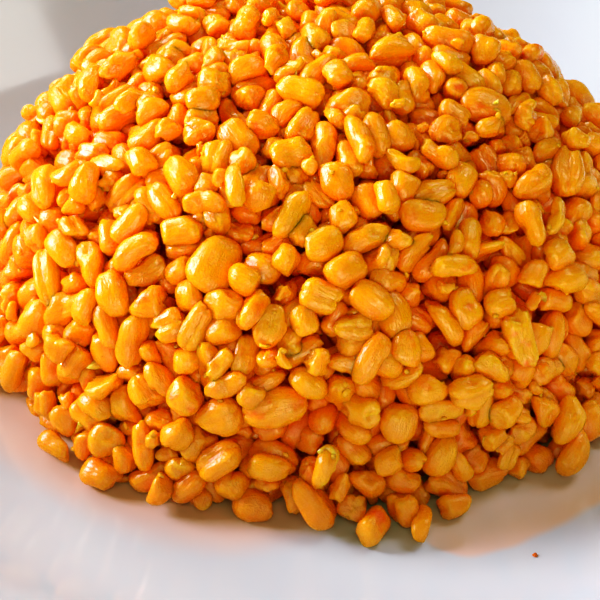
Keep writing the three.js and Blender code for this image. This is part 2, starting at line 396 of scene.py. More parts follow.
# painted shade: the core's colours are dark because it shows only deep in the gaps
CORE_SHADE_ORANGE = (0.95, 0.07, 0.0005)
CORE_SHADE_RED = (0.70, 0.03, 0.0005)


def core_material():
    """Wet packed grain seen through gaps: mottled from orange to dark red, dark as painted shade."""
    material, nodes, links = new_material("packed_bulgur_painted_shade")
    shader = nodes["Principled BSDF"]
    place = nodes.new("ShaderNodeTexCoord").outputs["Object"]
    mottle = stretched(nodes, links, noise(nodes, links, place, 220, 4), 0.35, 0.65)
    links.new(mixed_colour(nodes, links, mottle, CORE_SHADE_RED, CORE_SHADE_ORANGE), shader.inputs["Base Color"])
    links.new(bump(nodes, links, noise(nodes, links, place, 500, 3), 1 * MM, 0.6), shader.inputs["Normal"])
    set_values(shader, Roughness=0.4, Coat_Weight=0.3)
    return material


heap_core.data.materials.append(core_material())
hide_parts("pilaf_heap")
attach(heap_core, "root")


# ---- how the grains lie ----
# The grains were pressed into a mould and turned out, so they touch, lie at all angles and end
# on the dome's outline. A few have slid out at the foot. Here they are chains of three balls,
# which push each other apart inside the dome until they have settled.

GRAIN_COUNT = 2150
SHELL_DEPTH = 9.5
LEAST_DEPTH = 1.5
# how far grains may stand out of the outline, and how much more or less so in clumps
PROUD = (-4.8, 1.8)
CLUMPS = 6.0
SEEN_PROUD = 1.7
SLID_AZIMUTHS = (-1.49, -1.36, -1.28, 3.5, 0.9, 2.6, 4.1)
SLID_PROUD = 1.5
SLID_OUT = 2
# the heap has spread at its foot by so much, and less and less up to this height
FOOT_SPREAD = 2.6
FOOT_RISE = 10
BALL_SHARE = 0.76
SETTLING_STEPS = 170
# the balls start smaller and grow, and every few steps it is worked out which are neighbours
FIRST_SIZE = 0.7
GROWTH = 0.6
NEIGHBOUR_STEPS = 8
NEIGHBOUR_REACH = 7.0
PUSH_SHARE = 0.8
MOST_PUSH = 2.2
DRAWN_OUT = 0.06

draw = np.random.default_rng(11)

# name: share of all grains, length, width, thickness as a share of width
KINDS = {
    "whole_kernels": (0.21, (6.4, 8.8), (3.8, 5.1), (0.78, 0.95)),
    "halved_kernels": (0.17, (5.0, 7.2), (4.0, 5.3), (0.80, 0.98)),
    "barrel_kernels": (0.24, (5.2, 7.8), (3.4, 4.7), (0.85, 1.0)),
    "split_kernels": (0.16, (5.4, 8.4), (3.3, 4.8), (0.60, 0.85)),
    "cracked_chunks": (0.12, (3.8, 5.6), (3.5, 4.9), (0.80, 1.0)),
    "kernel_crumbs": (0.10, (2.1, 3.8), (1.7, 2.8), (0.75, 1.0)),
}


def between(limits, count):
    """Evenly drawn numbers between two limits."""
    return draw.uniform(limits[0], limits[1], count)


# The grains that stand out in the picture: where the middle is seen in its 600 x 600 pixels,
# how many degrees the grain is turned there, anticlockwise from its right, length and width in
# millimetres, how yellow it is from 0 to 1, kind, and which way its crease or cracked face looks.
SEEN_GRAINS = {
    "big_round": (216, 263, 60, 8.2, 7.2, 0.7, "whole_kernels", "away"),
    "pale_barrel": (291, 217, 56, 8.6, 4.3, 1.0, "barrel_kernels", "away"),
    "short_barrel": (322, 244, 20, 6.6, 4.6, 0.8, "barrel_kernels", "away"),
    "middle_slab": (324, 298, -20, 6.8, 5.0, 0.6, "halved_kernels", "out"),
    "middle_round": (303, 324, 80, 4.9, 4.7, 0.5, "cracked_chunks", "away"),
    "chunk_under_round": (222, 304, 15, 6.4, 5.0, 0.8, "cracked_chunks", "away"),
    "long_leaning": (199, 324, 60, 8.2, 4.4, 0.6, "whole_kernels", "out"),
    "torn_pale": (270, 325, 70, 6.6, 5.0, 0.7, "split_kernels", "out"),
    "pale_level": (181, 231, 10, 7.4, 4.5, 0.9, "barrel_kernels", "away"),
    "small_white": (251, 395, 60, 4.4, 4.0, 1.0, "halved_kernels", "away"),
    "creased_large": (275, 408, 10, 9.6, 6.2, 0.4, "whole_kernels", "out"),
    "round_left": (187, 394, 50, 5.9, 5.4, 0.8, "halved_kernels", "away"),
    "chunk_low": (219, 417, 20, 7.0, 5.8, 0.3, "cracked_chunks", "out"),
    "glossy_low": (257, 503, 12, 9.2, 5.3, 0.4, "whole_kernels", "away"),
    "slim_low": (270, 468, -8, 7.0, 3.9, 0.7, "barrel_kernels", "away"),
    "oval_right": (423, 215, 5, 7.0, 4.6, 0.7, "whole_kernels", "away"),
    "round_right": (404, 188, 70, 5.2, 4.4, 0.5, "halved_kernels", "away"),
    "cupped_oval": (357, 327, 0, 6.6, 4.2, 0.5, "split_kernels", "out"),
    "long_dark": (371, 358, 62, 8.6, 4.4, 0.2, "whole_kernels", "away"),
    "oval_upright": (405, 350, 85, 6.2, 4.4, 0.6, "whole_kernels", "away"),
    "yellow_oval": (429, 388, 18, 6.0, 4.8, 0.9, "halved_kernels", "away"),
    "wide_chunk": (398, 420, 70, 6.4, 6.0, 0.3, "cracked_chunks", "away"),
    "long_top_right": (488, 108, -8, 9.4, 5.4, 0.4, "whole_kernels", "away"),
    "barrel_top": (291, 154, 10, 6.2, 5.2, 0.8, "barrel_kernels", "away"),
    "slim_left": (64, 250, -55, 8.8, 4.0, 1.0, "barrel_kernels", "away"),
    "slim_far_left": (48, 278, -80, 8.6, 4.0, 0.9, "whole_kernels", "out"),
    "long_left": (130, 224, 48, 7.6, 4.3, 0.9, "whole_kernels", "away"),
    "slab_left": (153, 302, -4, 8.0, 5.4, 0.3, "halved_kernels", "away"),
    "bent_top": (300, 92, -20, 7.2, 4.4, 0.9, "whole_kernels", "out"),
    "round_top": (248, 70, 40, 6.0, 5.6, 0.7, "cracked_chunks", "away"),
    "tall_top": (216, 158, 70, 7.4, 5.6, 0.6, "cracked_chunks", "out"),
    "pair_right": (347, 270, 30, 7.4, 5.0, 0.4, "barrel_kernels", "away"),
    "oval_low_right": (440, 455, 60, 6.6, 4.6, 0.7, "whole_kernels", "away"),
    "foot_slab": (373, 526, 50, 7.4, 4.4, 0.8, "barrel_kernels", "away"),
    "foot_chunk": (424, 522, 75, 7.0, 4.2, 0.3, "split_kernels", "away"),
}
# hollows that show as dark gaps: pixel, radius and depth in millimetres
HOLLOWS = {
    "deep_gap": (333, 425, 3.2, 6.0),
    "gap_beside_it": (377, 391, 2.4, 4.0),
    "middle_gap": (401, 276, 2.4, 4.5),
    "right_gap": (504, 203, 2.4, 4.0),
    "left_gap": (181, 146, 2.4, 4.0),
}
PIXELS = 600
RIGHT = np.array([1.0, 0, 0])
UP = np.cross(toward_camera, RIGHT)


def behind_pixel(x, y, deep, low):
    """Where rays from the camera through pixels come deep under the dome's outline, or low over
    the glaze, and the outward direction there."""
    half_view = SENSOR / 2 / LENS
    ray = (x / PIXELS * 2 - 1)[:, None] * half_view * RIGHT - toward_camera
    ray += (1 - y / PIXELS * 2)[:, None] * half_view * UP
    ray /= np.linalg.norm(ray, axis=1, keepdims=True)
    eye = np.array(CAMERA_AIM) + CAMERA_DISTANCE * toward_camera - [0, 0, HEAP_Z]
    way = np.arange(CAMERA_DISTANCE - 90, CAMERA_DISTANCE + 90, 0.2)
    points = eye + ray[:, None] * way[:, None]
    under, normals = dome_depth(points)
    at = ((under > deep[:, None]) | (points[..., 2] < low[:, None])).argmax(1)
    each = np.arange(len(x))
    out = normals[each, at]
    out[under[each, at] < 0] = [0, 0, 1]
    return points[each, at], out


def seen_places():
    """Middles, axes and outward directions of the grains that stand out. The axis is the turn
    that the pixels show, laid on the outline there."""
    x, y, turn, _, width, _ = np.array([row[:6] for row in SEEN_GRAINS.values()]).T
    middle, out = behind_pixel(x, y, width / 2 - SEEN_PROUD, width / 2 * BALL_SHARE)
    angle = np.radians(turn)[:, None]
    shown = np.cos(angle) * RIGHT + np.sin(angle) * UP
    axis = shown - ((shown * out).sum(1) / (out @ toward_camera))[:, None] * toward_camera
    return middle, axis / np.linalg.norm(axis, axis=1, keepdims=True), out


kind_of = draw.choice(len(KINDS), GRAIN_COUNT, p=[values[0] for values in KINDS.values()])
number = np.arange(GRAIN_COUNT)
seen = number < len(SEEN_GRAINS)
slid = (number >= len(SEEN_GRAINS)) & (number < len(SEEN_GRAINS) + len(SLID_AZIMUTHS))
kind_of[seen] = [list(KINDS).index(row[6]) for row in SEEN_GRAINS.values()]
kind_of[slid] = np.arange(slid.sum()) % 3
length_limits, width_limits, flat_limits = (
    np.array([values[column] for values in KINDS.values()])[kind_of].T for column in (1, 2, 3)
)
grain_length = between(length_limits, GRAIN_COUNT)
grain_width = between(width_limits, GRAIN_COUNT)
grain_tone = draw.beta(2.2, 2.0, GRAIN_COUNT)
grain_length[seen] = [row[3] for row in SEEN_GRAINS.values()]
grain_width[seen] = [row[4] for row in SEEN_GRAINS.values()]
grain_tone[seen] = [row[5] for row in SEEN_GRAINS.values()]
grain_thick = grain_width * between(flat_limits, GRAIN_COUNT)


def close_pairs(balls, owner, reach):
    """All pairs of balls of different grains nearer than reach. Space is cut into cubes of that
    size, the balls are sorted by cube, and each looks into its own cube and its neighbours."""
    cube = np.floor((balls - balls.min(0)) / reach).astype(np.int64) + 1
    wide = cube.max() + 3
    key = (cube[:, 0] * wide + cube[:, 1]) * wide + cube[:, 2]
    order = np.argsort(key, kind="stable")
    found = []
    steps = np.array(np.meshgrid([-1, 0, 1], [-1, 0, 1], [-1, 0, 1])).reshape(3, -1).T
    offsets = steps @ [wide * wide, wide, 1]
    for offset in offsets[offsets >= 0]:
        low = np.searchsorted(key[order], key + offset, "left")
        many = np.searchsorted(key[order], key + offset, "right") - low
        first = np.repeat(np.arange(len(balls)), many)
        second = order[np.arange(many.sum()) - np.repeat(np.cumsum(many) - many - low, many)]
        near = ((balls[first] - balls[second]) ** 2).sum(1) < reach * reach
        apart = (owner[first] != owner[second]) & near
        if offset == 0:
            apart &= first < second
        found.append(np.stack([first[apart], second[apart]]))
    return np.concatenate(found, 1)


def settle_grains():
    """Moves the grains until they lie. In each step, two balls that overlap part by half of it
    each, a ball outside the outline goes back in, one inside it is drawn out a little, one under
    the floor comes up, and then each grain's three balls become a straight chain again. Those
    that stand out stay where they are, and a ball in front of one is pushed aside."""
    ball = grain_width / 2 * BALL_SHARE
    half = np.maximum(grain_length / 2 - ball, 0.05)
    start = draw.normal(size=(GRAIN_COUNT, 3))
    start[:, 2] = np.abs(start[:, 2])
    start /= np.linalg.norm(start, axis=1, keepdims=True)
    slid_at = np.array(SLID_AZIMUTHS)
    start[slid] = np.stack([np.cos(slid_at), np.sin(slid_at), 0 * slid_at], -1)
    deep = SHELL_DEPTH * draw.random(GRAIN_COUNT) + LEAST_DEPTH
    deep[slid] = -SLID_OUT
    middle = start * (dome_reach(start) - deep)[:, None]
    middle[:, 2] = np.maximum(middle[:, 2], LEAST_DEPTH)
    axis = draw.normal(size=(GRAIN_COUNT, 3))
    axis[slid, 2] *= 0.1
    axis /= np.linalg.norm(axis, axis=1, keepdims=True)
    proud = PROUD[0] + (PROUD[1] - PROUD[0]) * draw.random(GRAIN_COUNT) ** 0.7
    proud += waves(middle, seed=5, count=24, length=17, height=CLUMPS)
    proud[slid] = SLID_PROUD
    middle[seen], axis[seen], outwards = seen_places()
    clear = np.zeros((GRAIN_COUNT, 3))
    clear[seen] = outwards + toward_camera
    clear[seen] /= np.linalg.norm(clear[seen], axis=1, keepdims=True)
    fixed = middle[seen], axis[seen]
    x, y, wide, dent = np.array(list(HOLLOWS.values())).T
    mouth, mouth_out = behind_pixel(x, y, 0 * x, 0 * x)
    owner = np.repeat(number, 3)
    radius = np.repeat(ball, 3)
    limit = radius - np.repeat(proud, 3)
    chain = half[:, None] * np.array([-1, 0, 1])
    for step in range(SETTLING_STEPS):
        grown = min(1.0, FIRST_SIZE + GROWTH * step / SETTLING_STEPS)
        balls = (middle[:, None] + axis[:, None] * chain[..., None]).reshape(-1, 3)
        if step % NEIGHBOUR_STEPS == 0:
            first, second = close_pairs(balls, owner, NEIGHBOUR_REACH)
            above = seen[owner[second]] * 1.0 - seen[owner[first]]
            column = np.where(seen[owner[second]][:, None], clear[owner[second]], clear[owner[first]])
        gap = balls[first] - balls[second]
        rise = above * (gap * column).sum(1)
        gap -= (above * np.maximum(rise, 0))[:, None] * column
        far = np.sqrt((gap**2).sum(1)) + 1e-9
        over = (radius[first] + radius[second]) * grown - far
        hit = over > 0
        a, b = first[hit], second[hit]
        push = gap[hit] / far[hit, None] * over[hit, None] / 2
        touches = np.bincount(a, minlength=len(balls)) + np.bincount(b, minlength=len(balls))
        moved = np.stack(
            [np.bincount(a, p, len(balls)) - np.bincount(b, p, len(balls)) for p in push.T], -1
        )
        touches = np.maximum(touches, 1)[:, None]
        balls += moved / touches * np.minimum(touches, MOST_PUSH) * PUSH_SHARE
        under, normal = dome_depth(balls)
        under = under + FOOT_SPREAD * np.clip(1 - balls[:, 2] / FOOT_RISE, 0, 1)
        from_mouth = balls[:, None] - mouth
        beside = from_mouth - (from_mouth * mouth_out).sum(-1, keepdims=True) * mouth_out
        under -= (dent * np.exp(-((beside**2).sum(-1) / wide**2))).sum(-1)
        balls -= normal * np.maximum(limit - under, 0)[:, None]
        balls += normal * np.clip(under - limit, 0, DRAWN_OUT)[:, None]
        balls[:, 2] += np.maximum(radius - balls[:, 2], 0)
        linked = balls.reshape(-1, 3, 3)
        middle = linked.mean(1)
        axis = linked[:, 2] - linked[:, 0] + axis * 0.05
        axis /= np.linalg.norm(axis, axis=1, keepdims=True)
        middle[seen], axis[seen] = fixed
    return middle, axis


grain_middle, grain_axis = settle_grains()
grain_depth, grain_out = dome_depth(grain_middle)
opened = np.zeros(GRAIN_COUNT, bool)
opened[seen] = [row[7] == "out" for row in SEEN_GRAINS.values()]


# ---- the grains ----
# Coarse bulgur: wheat kernels that were parboiled, dried and cracked, now swollen and soft,
# each 4 to 9 mm long. Six kinds show, by how the kernel cracked, and each kind is one piece.

# rows and columns of the skin of a grain that can be seen, and of one that lies deeper
FINE_GRID = (13, 20)
COARSE_GRID = (6, 8)
COARSE_DEPTH = 5.0
# how crisp the edges of cracked faces are, and how strong a grain's lumps and dents
SOFTEST_EDGE = 6
SHARPEST_EDGE = 18
SEEN_RAGGED = 0.8
LEAST_RAGGED = 0.7
MORE_RAGGED = 1.7
MOST_CUTS = 5
# painted shade: colours deepen from just under the outline inwards
SHADE_FROM = 0.4
SHADE_OVER = 6.0
# painted shade reaches this far over a grain from where it touches another, and the colour
# deepens towards the heap's foot up to this height; then how much deeper the colour is in each place
CONTACT_SHADE_REACH = 1.3
FOOT_DEEPENING_RISE = 9
CONTACT_SHADE_DEPTH = 0.35
FOOT_DEEPENING_DEPTH = 0.25
NEAR_GRAINS = 14


def kernel_directions(rows, columns):
    """Directions on a grid of polar rows and columns around z, with z and -z as the poles."""
    grid = directions(np.pi * np.arange(1, rows) / rows, columns)
    return np.concatenate([[[0, 0, 1.0]], grid.reshape(-1, 3), [[0, 0, -1.0]]])


def copied_faces(grid, count):
    """Faces of many closed skins on the grid of kernel_directions, one after the other."""
    quads, fans = closed_grid_faces(grid[0] - 1, grid[1])
    shift = (np.arange(count) * (fans.max() + 1))[:, None, None]
    return [(faces + shift).reshape(-1, faces.shape[1])[:, ::-1] for faces in (quads, fans)]


def kernel_skin(u, sizes, cut_normals, cut_offsets, crease, cup, ragged, seed):
    """Points of many kernels at once, as (kernel, point, xyz) with z along the kernel, and how
    much each point lies on a cracked face.

    In a direction u a kernel reaches r = (e^-s + sum of (u.n / d)^s)^(-1/s): the soft minimum,
    of softness s, of its rounded body's reach e and of the planes with normal n at distance d
    where it cracked. Waves, hollows, furrows, a crease and a cup in the first cracked face dent
    r, the more so the more ragged the kernel is. It then narrows to a waist, tapers in
    proportion to z and bends with z squared."""
    shape = np.random.default_rng(seed)
    count = len(sizes)
    power = shape.uniform(2.0, 2.6, (count, 1))
    body = (np.abs(u[None] / (sizes[:, None] / 2)) ** power[..., None]).sum(-1) ** (1 / power)
    toward_cut = np.maximum(np.einsum("pk,nck->ncp", u, cut_normals), 0)
    soft = shape.uniform(SOFTEST_EDGE, SHARPEST_EDGE, (count, 1))
    cut = ((toward_cut / cut_offsets[..., None]) ** soft[..., None]).sum(1)
    whole = body**soft
    reach = (whole + cut) ** (-1 / soft)
    cracked = cut / (whole + cut)
    ragged = ragged[:, None]
    heading = shape.normal(size=(count, 6, 3))
    heading *= shape.uniform(1.6, 4.8, (count, 6, 1)) / np.linalg.norm(heading, axis=2, keepdims=True)
    phase = shape.uniform(0, 2 * np.pi, (count, 6, 1))
    lumps = np.sin(np.einsum("nwk,pk->nwp", heading, u) + phase)
    height = shape.uniform(0.01, 0.045, (count, 6, 1))
    reach *= 1 + (lumps * height).sum(1) * ragged
    torn = np.sin(np.einsum("nwk,pk->nwp", heading[:, :3] * 2.6, u) + phase[:, 3:])
    reach *= 1 + 0.045 * torn.sum(1) * cracked * ragged
    toward = shape.normal(size=(count, 3, 3))
    toward /= np.linalg.norm(toward, axis=2, keepdims=True)
    off = 1 - np.einsum("nwk,pk->nwp", toward, u)
    width = shape.uniform(0.05, 0.24, (count, 3, 1))
    hollow = shape.uniform(0, 0.24, (count, 3, 1)) * np.exp(-off / width)
    reach *= 1 - hollow.sum(1) * ragged
    reach *= 1 - cup[:, None] * np.exp(-(1 - toward_cut[:, 0]) / 0.14)
    across = np.hypot(u[:, 0], u[:, 1])
    around = np.arctan2(u[:, 0], u[:, 1])
    furrows = shape.integers(2, 5, (count, 1)) * around + shape.uniform(0, 2 * np.pi, (count, 1))
    furrows = furrows + shape.uniform(-0.9, 0.9, (count, 1)) * u[:, 2]
    reach *= 1 - shape.uniform(0, 0.07, (count, 1)) * np.abs(np.sin(furrows)) * across * ragged
    groove = np.exp(-((around / 0.3) ** 2)) * across**0.5
    reach *= 1 - crease[:, None] * groove
    points = u[None] * reach[..., None]
    along = points[..., 2] / (sizes[:, None, 2] / 2)
    waist = shape.uniform(-0.06, 0.14, (count, 1)) * np.exp(-((along / 0.4) ** 2))
    taper = shape.uniform(-0.2, 0.2, (count, 1)) * along
    points[..., :2] *= ((1 - waist) * (1 + taper))[..., None]
    points[..., 1] += shape.uniform(-0.9, 0.9, (count, 1)) * (along**2 - 0.35)
    return points, cracked


def kernel_cuts(kind, sizes, open_side):
    """Where the kernels of a kind cracked: normals and distances of up to five planes a kernel.
    A plane that isn't used lies far outside."""
    count = len(sizes)
    normals = draw.normal(size=(count, MOST_CUTS, 3))
    normals /= np.linalg.norm(normals, axis=2, keepdims=True)
    offsets = np.full((count, MOST_CUTS), 100.0)
    ends = np.zeros((count, 2, 3))
    ends[:, 0, 2] = 1
    ends[:, 1, 2] = -1
    ends += draw.normal(size=(count, 2, 3)) * [0.28, 0.28, 0]
    ends /= np.linalg.norm(ends, axis=2, keepdims=True)
    half = sizes[:, 2] / 2
    # any kernel may have lost a chip or been pressed flat somewhere
    offsets[:, 3:] = sizes[:, None, 1] / 2 * draw.uniform(0.92, 1.8, (count, 2))
    if kind == "halved_kernels":
        normals[:, 0] = ends[:, 0]
        offsets[:, 0] = half * draw.uniform(0.35, 0.8, count)
    if kind == "barrel_kernels":
        normals[:, :2] = ends
        offsets[:, :2] = half[:, None] * draw.uniform(0.66, 0.9, (count, 2))
    if kind == "split_kernels":
        turn = np.where(open_side, np.pi / 2, draw.uniform(0, 2 * np.pi, count))
        normals[:, 0] = np.stack([np.cos(turn), np.sin(turn), draw.uniform(-0.3, 0.3, count)], -1)
        offsets[:, 0] = sizes[:, 0] / 2 * draw.uniform(0.2, 0.55, count)
        normals[:, 1] = ends[:, 0]
        offsets[:, 1] = half * draw.uniform(0.6, 0.95, count)
    if kind in ("cracked_chunks", "kernel_crumbs"):
        offsets[:, :4] = sizes.mean(1)[:, None] / 2 * draw.uniform(0.55, 0.95, (count, 4))
    if kind == "whole_kernels":
        offsets[:, 0] = half * draw.uniform(0.85, 1.3, count)
    return normals, offsets


def put_attribute(mesh, name, kind, values):
    """Stores one value or vector for each point of a mesh."""
    field = "value" if kind == "FLOAT" else "vector" if kind == "FLOAT_VECTOR" else "color"
    mesh.attributes.new(name, kind, "POINT").data.foreach_set(field, values.astype(np.float32).ravel())


# the colours of all kinds: from orange to yellow, paler where cracked, redder with sauce, and deep
# orange as painted shade inside the heap and where grains touch, also low by the foot and a little
# on crumbs and flakes
GRAIN_YELLOW = (0.93, 0.35, 0.0006)
GRAIN_ORANGE = (0.95, 0.285, 0.0004)
GRAIN_PALE = (0.95, 0.42, 0.02)
SAUCE_RED = (0.97, 0.10, 0.0003)
DEEP_ORANGE = (1.0, 0.08, 0.0002)
GRAIN_ROUGHNESS = 0.11
WRINKLE_HEIGHT = 0.3


def kernel_group():
    """The look of a cooked kernel: yellow to orange by its own tone, paler where it cracked, red
    where it took sauce, deep orange by its depth value, which paints shade inside the heap and where
    grains touch and deepens the colour by the foot; and the height of its wrinkles."""
    group = bpy.data.node_groups.new("cooked_kernel", "ShaderNodeTree")
    for name in ("Tone", "Sauce", "Cracked", "Depth"):
        group.interface.new_socket(name, in_out="INPUT", socket_type="NodeSocketFloat")
    group.interface.new_socket("Place", in_out="INPUT", socket_type="NodeSocketVector")
    group.interface.new_socket("Color", in_out="OUTPUT", socket_type="NodeSocketColor")
    group.interface.new_socket("Roughness", in_out="OUTPUT", socket_type="NodeSocketFloat")
    group.interface.new_socket("Height", in_out="OUTPUT", socket_type="NodeSocketFloat")
    nodes, links = group.nodes, group.links
    given = nodes.new("NodeGroupInput").outputs
    out = nodes.new("NodeGroupOutput").inputs
    cloud = noise(nodes, links, given["Place"], 0.22, 1)
    toned = math_node(nodes, links, "MULTIPLY_ADD", cloud, 0.5, given["Tone"])
    colour = mixed_colour(nodes, links, stretched(nodes, links, toned, 0.2, 1.2), GRAIN_ORANGE, GRAIN_YELLOW)
    starch = math_node(nodes, links, "MULTIPLY", given["Cracked"], 0.55)
    colour = mixed_colour(nodes, links, starch, colour, GRAIN_PALE)
    blots = stretched(nodes, links, noise(nodes, links, given["Place"], 0.4, 2), 0.5, 0.75)
    stain = math_node(nodes, links, "MULTIPLY", blots, given["Sauce"])
    colour = mixed_colour(nodes, links, stain, colour, SAUCE_RED)
    # painted shade: deep orange by the depth value
    colour = mixed_colour(nodes, links, given["Depth"], colour, DEEP_ORANGE)
    links.new(colour, out["Color"])
    fine = noise(nodes, links, given["Place"], 3.4, 1, 0.5)
    links.new(math_node(nodes, links, "MULTIPLY_ADD", fine, 0.3, GRAIN_ROUGHNESS), out["Roughness"])
    # wrinkles run along the kernel, so the pattern is squeezed across it
    along = vector_node(nodes, links, "MULTIPLY", given["Place"], (1.6, 1.6, 0.5))["Vector"]
    wrinkle = noise(nodes, links, along, 0.9, 3, 0.5)
    links.new(math_node(nodes, links, "MULTIPLY_ADD", fine, 0.22, wrinkle), out["Height"])
    return group


def kernel_material(group):
    """Moist translucent grain under a film of oil."""
    material, nodes, links = new_material("cooked_bulgur")
    shader = nodes["Principled BSDF"]
    look = nodes.new("ShaderNodeGroup")
    look.node_tree = group
    tone = nodes.new("ShaderNodeAttribute")
    tone.attribute_name = "grain_tone"
    split = nodes.new("ShaderNodeSeparateColor")
    links.new(tone.outputs["Color"], split.inputs[0])
    place = nodes.new("ShaderNodeAttribute")
    place.attribute_name = "grain_place"
    # the depth value holds the painted shade inside the heap and where grains touch, and the deeper colour
    # by the foot
    deep = nodes.new("ShaderNodeAttribute")
    deep.attribute_name = "grain_depth"
    links.new(split.outputs["Red"], look.inputs["Tone"])
    links.new(split.outputs["Green"], look.inputs["Sauce"])
    links.new(split.outputs["Blue"], look.inputs["Cracked"])
    links.new(deep.outputs["Fac"], look.inputs["Depth"])
    links.new(place.outputs["Vector"], look.inputs["Place"])
    links.new(look.outputs["Color"], shader.inputs["Base Color"])
    links.new(look.outputs["Roughness"], shader.inputs["Roughness"])
    links.new(bump(nodes, links, look.outputs["Height"], WRINKLE_HEIGHT * MM, 0.8), shader.inputs["Normal"])
    set_values(shader, Subsurface_Weight=1.0, Subsurface_Scale=2 * MM, Specular_IOR_Level=0.6)
    shader.inputs["Subsurface Radius"].default_value = (1.0, 1.0, 0.8)
    return material


def touching(points, these):
    """How near points of the given grains lie to other grains, from 0 to 1 where they touch, for the
    painted shade between grains: one minus the share of the shade's reach that the nearest ball of
    the nearest grains is away."""
    far = np.linalg.norm(grain_middle[these][:, None] - grain_middle, axis=2)
    others = np.argsort(far, axis=1)[:, 1 : NEAR_GRAINS + 1]
    half = np.maximum(grain_length - grain_width, 0.1) / 2
    nearest = np.full(points.shape[:2], CONTACT_SHADE_REACH)
    for other in others.T:
        for place in (-1, 0, 1):
            ball = grain_middle[other] + grain_axis[other] * (place * half[other])[:, None]
            away = np.linalg.norm(points - ball[:, None], axis=2) - grain_width[other][:, None] / 2
            nearest = np.minimum(nearest, away)
    return np.clip(1 - nearest / CONTACT_SHADE_REACH, 0, 1)


def place_kernels(kind, these, grid, seed):
    """Points, faces and values of the given grains of a kind, each turned and moved to its
    place: z goes along its axis, and x and y across it by a random roll, or for a grain that
    stands out, with its crease side towards the eye or away from it."""
    u = kernel_directions(*grid)
    many = len(these)
    sizes = np.stack([grain_width[these], grain_thick[these], grain_length[these]], -1)
    normals, offsets = kernel_cuts(kind, sizes, opened[these])
    creased = (draw.random(many) < CREASED[kind]) | opened[these]
    crease = draw.uniform(0.12, 0.34, many) * creased
    cup = draw.uniform(0.0, 0.28, many) * (kind in CUPPED)
    ragged = LEAST_RAGGED + MORE_RAGGED * draw.random(many) ** 1.5
    ragged = np.where(seen[these], SEEN_RAGGED, ragged)
    points, cracked = kernel_skin(u, sizes, normals, offsets, crease, cup, ragged, seed)
    along = grain_axis[these]
    side = draw.normal(size=(many, 3))
    outwards = grain_out[these] + toward_camera
    outwards *= np.where(opened[these], 1, -1)[:, None]
    side = np.where(seen[these][:, None], np.cross(outwards, along), side)
    side -= along * (side * along).sum(1, keepdims=True)
    side /= np.linalg.norm(side, axis=1, keepdims=True)
    basis = np.stack([side, np.cross(along, side), along], 1)
    placed = np.einsum("npk,nkj->npj", points, basis) + grain_middle[these][:, None]
    placed[..., 2] = np.maximum(placed[..., 2], 0.02)
    # painted shade: the colour deepens the deeper a point lies under the dome's outline
    under = np.clip((dome_depth(placed)[0] - SHADE_FROM) / SHADE_OVER, 0, 1)
    # painted shade where grains touch, and a deeper colour low on the heap towards its foot
    contact_shade = CONTACT_SHADE_DEPTH * touching(placed, these)
    foot_deepened = FOOT_DEEPENING_DEPTH * np.clip(1 - placed[..., 2] / FOOT_DEEPENING_RISE, 0, 1)
    under = 1 - (1 - under) * (1 - contact_shade) * (1 - foot_deepened)
    each = np.ones((many, len(u)))
    tone = grain_tone[these][:, None] * each
    sauce = draw.random((many, 1)) ** 5 * each
    tones = np.stack([tone, sauce, cracked, each], -1).reshape(-1, 4)
    own = (points + draw.uniform(0, 400, (many, 1, 3))).reshape(-1, 3)
    points = placed.reshape(-1, 3) + [0, 0, HEAP_Z]
    return points, copied_faces(grid, many), tones, own, under.ravel()


CUPPED = ("split_kernels", "halved_kernels")
CREASED = {
    "whole_kernels": 1.0,
    "halved_kernels": 0.6,
    "barrel_kernels": 0.6,
    "split_kernels": 0.3,
    "cracked_chunks": 0.2,
    "kernel_crumbs": 0.0,
}
kernel_look = kernel_material(kernel_group())
skins = []
for place_in_kinds, kind in enumerate(KINDS):
    of_kind = kind_of == place_in_kinds
    outer = np.flatnonzero(of_kind & (grain_depth < COARSE_DEPTH))
    inner = np.flatnonzero(of_kind & (grain_depth >= COARSE_DEPTH))
    near = place_kernels(kind, outer, FINE_GRID, 100 + place_in_kinds)
    far = place_kernels(kind, inner, COARSE_GRID, 200 + place_in_kinds)
    faces = near[1] + [group + len(near[0]) for group in far[1]]
    skins.append(near[0])
    piece = put_mesh(kind, np.concatenate([near[0], far[0]]), faces)
    put_attribute(piece.data, "grain_tone", "FLOAT_COLOR", np.concatenate([near[2], far[2]]))
    put_attribute(piece.data, "grain_place", "FLOAT_VECTOR", np.concatenate([near[3], far[3]]))
    put_attribute(piece.data, "grain_depth", "FLOAT", np.concatenate([near[4], far[4]]))
    piece.data.materials.append(kernel_look)
    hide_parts("pilaf_heap")
    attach(piece, "root")


# ---- crumbs, bran and pepper paste ----
# What came off the kernels as they were stirred: crumbs of starch, thin curled flakes of bran,
# and bits of the red pepper paste they were cooked in. They stick to the grains by the wet oil.

# name: count, longest side, width and thickness as shares of it, curl, how deep in the dome
BITS = {
    "starch_crumbs": (320, (0.6, 1.5), (0.6, 0.9), (0.5, 0.8), 0.0, (-2.0, 3.5)),
    "bran_flakes": (60, (1.8, 3.0), (0.4, 0.6), (0.10, 0.16), 0.9, (-1.5, 3.5)),
    "pepper_bits": (22, (1.2, 2.4), (0.5, 0.8), (0.25, 0.5), 0.4, (0.5, 4.5)),
}
BIT_GRID = (5, 6)
PASTE_RED = (0.50, 0.04, 0.004)
PASTE_ORANGE = (0.80, 0.12, 0.004)
BIT_OIL = 0.25
# one small bit of paste lies on the glaze, and only its top shows
STRAY_BIT = (30.5, -58.7)
STRAY_SCALE = 0.55
STRAY_SUNK = 0.15


